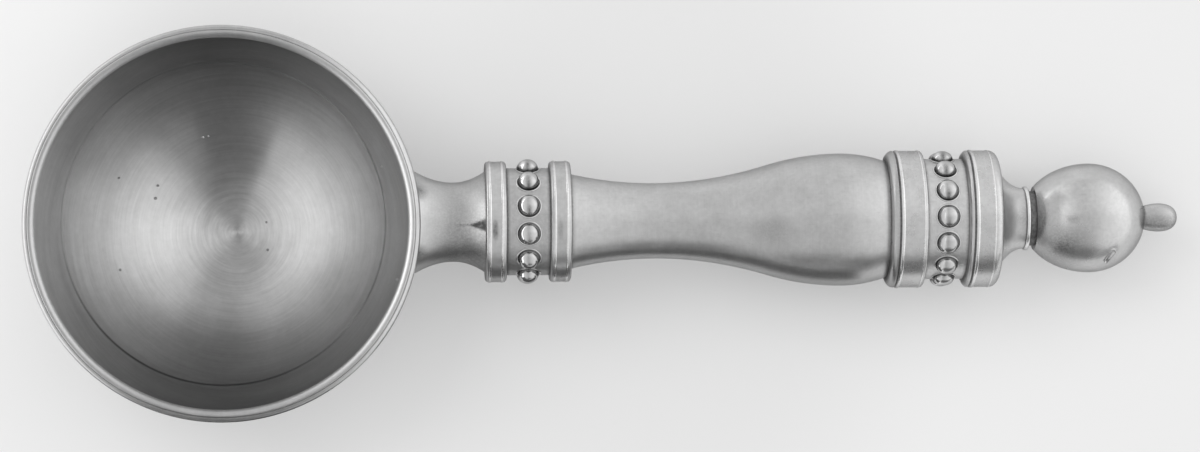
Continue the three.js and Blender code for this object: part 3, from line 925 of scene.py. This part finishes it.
def makeGrip():
    start, end = stations["grip"], stations["ringC"]
    waist = (start + grip["waistAt"], grip["waistOut"])
    belly = (start + grip["bellyAt"], grip["bellyOut"])
    share = (grip["turnAt"] - grip["waistAt"]) / (grip["bellyAt"] - grip["waistAt"])
    turning = (start + grip["turnAt"], grip["waistOut"] + (grip["bellyOut"] - grip["waistOut"]) * share)
    outline = (
        flare(waist, (start, grip["startOut"]), steps=40)[::-1]
        + flare(waist, turning, steps=24)[1:]
        + flare(belly, turning, steps=20)[::-1][1:]
        + flare(belly, (end, grip["endOut"]), steps=24)[1:]
    )
    bm = bored(start, end, outline)
    joints = jointPatina(start, end, grip["jointDark"])

    def darkening(x, y, z):
        # both joints, and a soft smudge on the belly
        away = ovalAway(x, y, grip["smudge"], grip["smudgeReach"])
        smudge = grip["smudgeDark"] * firmFade(away, gain=grip["smudgeGain"]) if z > 0 else 0.0
        return max(joints(x, y, z), smudge)

    paint(bm, "patinaAndShade", darkening)
    finishPiece(bm, "gripPiece", "handle", "handle_steel", "grip")


makeGrip()

rearRing = {
    "out": 11.4,
    "footOut": 9.85,
    "ridge": 0.55,
    "rise": 0.12,
    "thinRidge": 0.3,
    "thinShare": 0.6,          # of the crown line's rise
    "grooveWidth": 0.35, "grooveDepth": 0.2, "grooveDark": 0.8, "grooveReach": 0.3,
    # painted shade darkens the joint at the foot, out at the sides from footFrom to footTo
    "footDark": 1.0, "footReach": 0.35, "footFrom": 6.0, "footTo": 10.0,
    "endDark": 0.2,
    "shine": 0.17,
}


def makeRearRing(name, start, end, crown, edge, dullAndShade, node):
    # a round shoulder, a groove, a bright crown line, a flat, a thin line and a round edge
    use = rearRing
    out, rise, width, thin = (use[key] for key in ("out", "rise", "ridge", "thinRidge"))
    flat = out - rise
    grooveStart = crown - use["grooveWidth"]
    shoulder = (grooveStart - start, flat - use["footOut"])
    groove = (crown - use["grooveWidth"] / 2, flat - use["grooveDepth"])
    outline = (
        oval((grooveStart, use["footOut"]), shoulder, 180, 90, steps=12)
        + [groove]
        + ridge(crown, width, flat, rise)
        + straight((crown + width, flat), (end - edge - thin, flat), steps=8)[1:-1]
        + ridge(end - edge - thin, thin, flat, rise * use["thinShare"])
        + oval((end - edge, flat - edge), (edge, edge), 90, 0, steps=10)[1:]
    )
    bm = bored(start, end, outline)

    def darkening(x, y, z):
        # the shoulder darkens towards its groove, and painted shade darkens the joint at its foot at the
        # sides
        dulled = dullAndShade * (x - start) / (crown - start) if x < crown else 0.0
        sideShare = (abs(y) - use["footFrom"]) / (use["footTo"] - use["footFrom"])
        foot = use["footDark"] * fade(x - start, use["footReach"]) * min(1.0, sideShare)
        dirtAndShade = use["grooveDark"] * fade(x - groove[0], use["grooveReach"])
        return max(dulled, foot, dirtAndShade, use["endDark"] * fade(x - end, use["footReach"]))

    paint(bm, "patinaAndShade", darkening)
    paint(bm, "polishAndSheen", lambda x, y, z: max(use["shine"], firmFade(math.hypot(y, z) - out, rise)))
    finishPiece(bm, name, "ring", "ring_steel", node)


makeRearRing(
    "rearRingGripSide", stations["ringC"], stations["rearDrum"],
    crown=110.35, edge=0.5, dullAndShade=0.45, node="rear_ring_grip_side",
)
makeRearRing(
    "rearRingFinialSide", stations["ringD"], stations["finialNeck"],
    crown=122.6, edge=1.4, dullAndShade=0.05, node="rear_ring_finial_side",
)

# Bead bands: a drum with domed studs, each in a narrow dark groove with a thrown-up collar
bands = {
    "front": {
        "start": "frontDrum", "end": "ringB", "out": 8.8, "jointDark": 0.9, "polishAndSheen": 0.0,
        "beads": 12, "phase": 13.0, "beadHeight": 1.45,
    },
    "rear": {
        "start": "rearDrum", "end": "ringD", "out": 9.9, "jointDark": 0.9, "polishAndSheen": 0.45,
        "beads": 14, "phase": -2.4, "beadHeight": 1.22,
    },
}
bead = {
    "radius": 1.7,
    "rise": 0.2,
    "sink": 0.5,
    "rounds": 40,
    "grooveWidth": 0.1, "grooveRise": 0.03,
    "grooveDirt": 0.08,        # how far the dirt runs out of the groove
    "collarWidth": 0.3, "collarRise": 0.1, "collarShine": 0.8,
    "foot": 1.1,               # darkness round the dome's foot: dirt, deepened towards one side as painted shade
    "footAcross": 0.7, "footAlong": -0.3, "footShare": 0.5,
    "stripe": 0.8,             # painted reflection: a dark stripe down the dome's near side
    "stripeHalf": 0.6, "stripeGain": 1.6,
    "lobe": 1.0,               # painted highlight: a bright lobe on the side towards the bowl
    "lobeAt": 0.9, "lobeReach": 0.6,
}


def makeBead(name, middle, angle, band, node):
    radius = bead["radius"]
    grooveOut = radius + bead["grooveWidth"]
    half = bead["collarWidth"] / 2
    profile = (
        oval((bead["rise"], 0), (band["beadHeight"], radius), 0, 90, steps=16)
        + [(bead["grooveRise"], radius), (bead["grooveRise"], grooveOut)]
        + oval((0, grooveOut + half), (bead["collarRise"], half), -80, 90, steps=6)
        + [(-bead["sink"], grooveOut + half * 2), (-bead["sink"], 0)]
    )
    bm = turn(profile, bead["rounds"])

    def dirtyAndShaded(rise, across, along):
        # dirt in the groove, dirt and painted shade round the dome's foot, and the stripe's painted
        # reflection
        out = math.hypot(across, along)
        if out > grooveOut:
            return fade(out - grooveOut, bead["grooveDirt"])
        foot = bead["foot"] + (bead["footAcross"] * across + bead["footAlong"] * along) / radius
        foot *= fade(rise, bead["rise"] + band["beadHeight"] * bead["footShare"])
        stripe = bead["stripe"] * fade(along, bead["stripeHalf"])
        stripe *= min(1.0, bead["stripeGain"] * max(0.0, across) / radius)
        return max(stripe, foot)

    def bright(rise, across, along):
        # the shiny collar, and a painted highlight on the dome's side towards the bowl
        out = math.hypot(across, along)
        lobe = bead["lobe"] * fade(along + bead["lobeAt"], bead["lobeReach"]) if out < radius else 0.0
        return max(lobe, bead["collarShine"] * fade(out - grooveOut - half, half))

    paint(bm, "patinaAndShade", dirtyAndShaded)
    paint(bm, "polishAndSheen", bright)
    # stood on the drum, bent round it, and carried round the axis
    for vert in bm.verts:
        rise, across, along = vert.co
        turned = angle + across / band["out"]
        out = band["out"] + rise
        vert.co = (middle + along, -out * math.sin(turned), out * math.cos(turned))
    finishPiece(bm, name, "bead", "bead_steel", node)


def makeBand(row):
    band = bands[row]
    start, end = stations[band["start"]], stations[band["end"]]
    middle = (start + end) / 2
    surface = straight((start, band["out"]), (end, band["out"]), steps=24)
    bm = bored(start, end, surface)
    paint(bm, "patinaAndShade", jointPatina(start, end, band["jointDark"]))
    paint(bm, "polishAndSheen", lambda x, y, z: band["polishAndSheen"])
    finishPiece(bm, row + "BeadBand", "band", "band_steel", row + "_bead_band")
    for index in range(band["beads"]):
        angle = math.radians(band["phase"] + 360 * index / band["beads"])
        number = "%02d" % (index + 1)
        makeBead(row + "Bead" + number, middle, angle, band, row + "_bead_" + number)


makeBand("front")
makeBand("rear")
print("rings, grip and bead bands made")

finialNeck = {
    "footOut": 8.4,
    "waistOut": 5.0,
    "length": 4.45,
    "lipWidth": 0.75, "lipOut": 5.3,
    # recessDark is painted shade in the recess past the lip
    "recessOut": 4.5, "recessStep": 0.05, "recessDark": 0.9,
    "lipMargin": 0.1,          # the lip's wear reaches this far below the waist
    "topDark": 0.48, "topReach": (5.5, 5.0),
    "footDark": 0.25, "footReach": 0.3,
    "lipDark": 0.8, "lipReach": 0.25,
    "sideFrom": 3.5,           # painted reflection: the trumpet's sides are lighter beyond this
    "sideSpan": 2.5,
}


def makeFinialNeck():
    use = finialNeck
    start, end = stations["finialNeck"], stations["ball"]
    waist = (start + use["length"], use["waistOut"])
    half = use["lipWidth"] / 2
    lip = oval((waist[0] + half, waist[1]), (half, use["lipOut"] - waist[1]), 180, 0, steps=10)
    recessStart = waist[0] + half * 2 + use["recessStep"]
    recess = [(recessStart, use["recessOut"]), (end, use["recessOut"])]
    trumpet = flare(waist, (start, use["footOut"]), steps=24)[::-1]
    bm = bored(start, end, trumpet + lip[1:] + recess)
    lipFrom = waist[1] - use["lipMargin"]
    topLong, topHigh = use["topReach"]

    def dullAndShade(x, y, z):
        # painted shade in the recess past the lip, the darker top of the trumpet, and both its ends
        if x > waist[0]:
            return use["recessDark"] if math.hypot(y, z) < lipFrom else 0.0
        topDark = use["topDark"] * fade(x - waist[0], topLong) * fade(y, topHigh)
        foot = use["footDark"] * fade(x - start, use["footReach"])
        return max(topDark, foot, use["lipDark"] * fade(x - waist[0], use["lipReach"]))

    def bright(x, y, z):
        # the worn lip, and the painted reflection on the sides of the trumpet
        if x > waist[0] + use["recessStep"]:
            return 1.0 if math.hypot(y, z) > lipFrom else 0.0
        return (abs(y) - use["sideFrom"]) / use["sideSpan"]

    paint(bm, "patinaAndShade", dullAndShade)
    paint(bm, "polishAndSheen", bright)
    finishPiece(bm, "finialNeck", "handle", "handle_steel", "finial_neck")


finialBall = {
    "out": 9.0,
    "middle": 142.6,
    "end": 151.7,
    "seatOut": 5.2,
    "tipSeatOut": 2.0,
    "seatDark": 0.6, "seatReach": 0.5,
    "darkPatchReach": (1.4, 3.9),  # painted shade: a dark crescent behind the lip, deepest on its lower side
    "crescentDark": 0.62, "crescentTilt": 0.07, "crescentEdge": 4.0,
    "shade": (137.6, -4.6),    # soft painted shade lower down beside it
    "shadeReach": (5.4, 4.4), "shadeDark": 0.8,
    "spot": (138.7, -0.2), "spotReach": (1.3, 0.75), "spotDark": 0.35,
}
gouge = {
    "start": (144.7, -7.1),
    "end": (145.7, -5.6),
    "reach": 0.32,
    "depth": 0.30,
    "fineReach": 3.5,          # the mesh is finer within this many reaches
    "cuts": 7,
    "burrReach": 1.6,
    "burrShare": 0.25,         # of the depth
}


def pressGouge(bm):
    # a short cut pressed into the top of a turned piece, with a low burr beside it
    start = Vector(gouge["start"])
    run = Vector(gouge["end"]) - start

    def reaches(vert):
        # distance from the cut's line, in reaches
        if vert.co.z <= 0:
            return math.inf
        place = Vector((vert.co.x, vert.co.y)) - start
        share = min(1.0, max(0.0, place.dot(run) / run.length_squared))
        return (place - run * share).length / gouge["reach"]

    near = [edge for edge in bm.edges if all(reaches(vert) < gouge["fineReach"] for vert in edge.verts)]
    bmesh.ops.subdivide_edges(bm, edges=near, cuts=gouge["cuts"], use_grid_fill=True)
    bm.normal_update()
    for vert in bm.verts:
        share = reaches(vert)
        if share < 1:
            vert.co -= vert.normal * gouge["depth"] * (1 - share ** 2)
        elif share < gouge["burrReach"]:
            rise = math.sin(math.pi * (share - 1) / (gouge["burrReach"] - 1))
            vert.co += vert.normal * gouge["depth"] * gouge["burrShare"] * rise


def makeFinialBall():
    use = finialBall
    middle, out, seat = use["middle"], use["out"], stations["ball"]
    frontAngle = math.degrees(math.acos(use["seatOut"] / out))
    backAngle = math.degrees(math.acos(use["tipSeatOut"] / out))
    frontReach = (middle - seat) / math.sin(math.radians(frontAngle))
    backReach = (use["end"] - middle) / math.sin(math.radians(backAngle))
    front = oval((middle, 0), (frontReach, out), 90 + frontAngle, 90, steps=32)
    back = oval((middle, 0), (backReach, out), 90, 90 - backAngle, steps=32)[1:]
    bm = turn([(seat, 0)] + front + back + [(use["end"], 0)], handleRounds)
    pressGouge(bm)

    def darkPatch(x, y, z):
        # the crescent and the soft shade, both painted shade, and a small spot, all on top
        if z < 0:
            return use["seatDark"] * fade(x - seat, use["seatReach"])
        inside = 1 - ovalAway(x, y, (seat, 0), use["darkPatchReach"])
        deepest = use["crescentDark"] - use["crescentTilt"] * y
        crescent = min(deepest, use["crescentEdge"] * inside)
        shadeAway = ovalAway(x, y, use["shade"], use["shadeReach"])
        spotAway = ovalAway(x, y, use["spot"], use["spotReach"])
        shade = use["shadeDark"] * fade(shadeAway)
        return max(crescent, shade, use["spotDark"] * firmFade(spotAway))

    paint(bm, "patinaAndShade", darkPatch)
    finishPiece(bm, "finialBall", "finial", "finial_steel", "finial_ball")


finialTip = {
    "rootOut": 1.9,
    "out": 2.33,
    "belly": 154.2,
    "length": 3.18,
    "squareness": 2.35,
    "sink": 0.5,
    "rounds": 64,
    "jointDark": 0.9, "jointReach": 0.4,
    # painted shade darkens the lower side
    "dullAndShade": 0.6, "lowShadeAt": -1.2, "dullAndShadeReach": 3.4,
}


def makeFinialTip():
    use = finialTip
    belly = (use["belly"], use["out"])
    seat = stations["tip"]
    inside = seat - use["sink"]
    root = flare(belly, (seat, use["rootOut"]), steps=16)[::-1]
    dome = (use["length"], belly[1])
    end = oval((belly[0], 0), dome, 90, 0, steps=20, power=use["squareness"])[1:]
    bm = turn([(inside, 0), (inside, use["rootOut"])] + root + end, use["rounds"])

    def darkening(x, y, z):
        # the joint with the ball, and a lower side darkened as painted shade
        joint = use["jointDark"] * fade(x - seat, use["jointReach"])
        return max(joint, use["dullAndShade"] * fade(y - use["lowShadeAt"], use["dullAndShadeReach"]))

    paint(bm, "patinaAndShade", darkening)
    finishPiece(bm, "finialTip", "finial", "finial_steel", "finial_tip")


makeFinialNeck()
makeFinialBall()
makeFinialTip()

rod = {"start": 34.65, "end": 142.5, "out": 2.5, "rounds": 32}


def makeTieRod():
    ends = [(rod["start"], 0), (rod["start"], rod["out"]), (rod["end"], rod["out"]), (rod["end"], 0)]
    bm = turn(ends, rod["rounds"])
    finishPiece(bm, "tieRod", "rod", "rod_steel", "tie_rod")


makeTieRod()
print("finial and rod made")
